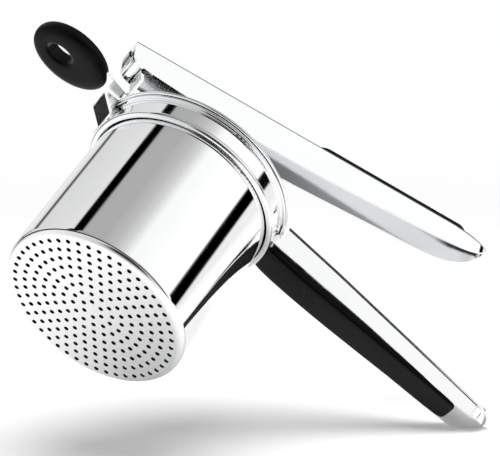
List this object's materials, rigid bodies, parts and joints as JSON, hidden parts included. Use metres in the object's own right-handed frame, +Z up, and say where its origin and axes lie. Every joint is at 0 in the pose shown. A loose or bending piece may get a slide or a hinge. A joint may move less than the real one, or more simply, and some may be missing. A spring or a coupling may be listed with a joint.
{
  "type": "potato ricer",
  "caption": "Hand-held potato ricer: perforated drop-in cup in a collar with a handle, hinged lever with a pressing plate, hanging loop.",
  "frame": {"origin": "centre of the cup's flat bottom face", "axes": "+Z up the cup's axis, +X from the cup along the handles, the hanging loop towards -X"},
  "size_m": [0.2609, 0.0938, 0.1618],
  "materials": {
    "cup_steel": "polished wall, satin perforated bottom",
    "band_steel": "polished",
    "handle_steel": "polished",
    "lever_steel": "polished",
    "bracket_steel": "satin",
    "weld_steel": "polished weld",
    "pin_steel": "turned",
    "plunger_steel": "satin",
    "handle_pad": "satin black",
    "lever_pad": "satin black",
    "loop_black": "satin black"
  },
  "bodies": {
    "base": {"ring_band": "band_steel", "handle_shell": "handle_steel", "root_weld": "weld_steel", "handle_grip": "handle_pad", "hinge_bracket": "bracket_steel", "bracket_weld": "weld_steel", "loop_tang": "bracket_steel", "bracket_rivet": "pin_steel", "loop_rubber": "loop_black"},
    "cup": {"cup": "cup_steel"},
    "lever": {"lever_channel": "lever_steel", "lever_grip": "lever_pad", "hinge_pin": "pin_steel", "plunger_pin": "pin_steel", "plunger_bush": "plunger_steel"},
    "plunger": {"plunger_yoke": "plunger_steel", "plunger_plate": "plunger_steel", "plunger_rivets": "pin_steel"}
  },
  "joints": [
    {"name": "lever_hinge", "type": "hinge", "parent": "base", "child": "lever", "pos_m": [-0.0495, 0, 0.1145], "axis": [0, -1, 0], "range_deg": [0, 62]},
    {"name": "plunger_swing", "type": "hinge", "parent": "lever", "child": "plunger", "pos_m": [-0.005, 0, 0.126], "axis": [0, -1, 0], "range_deg": [-45, 0]},
    {"name": "cup_turn", "type": "hinge", "parent": "base", "child": "cup", "pos_m": [0, 0, 0.08], "axis": [0, 0, 1], "continuous": true}
  ],
  "couplings": [
    {"joint": "plunger_swing", "follows": "lever_hinge", "ratio": -0.71}
  ]
}
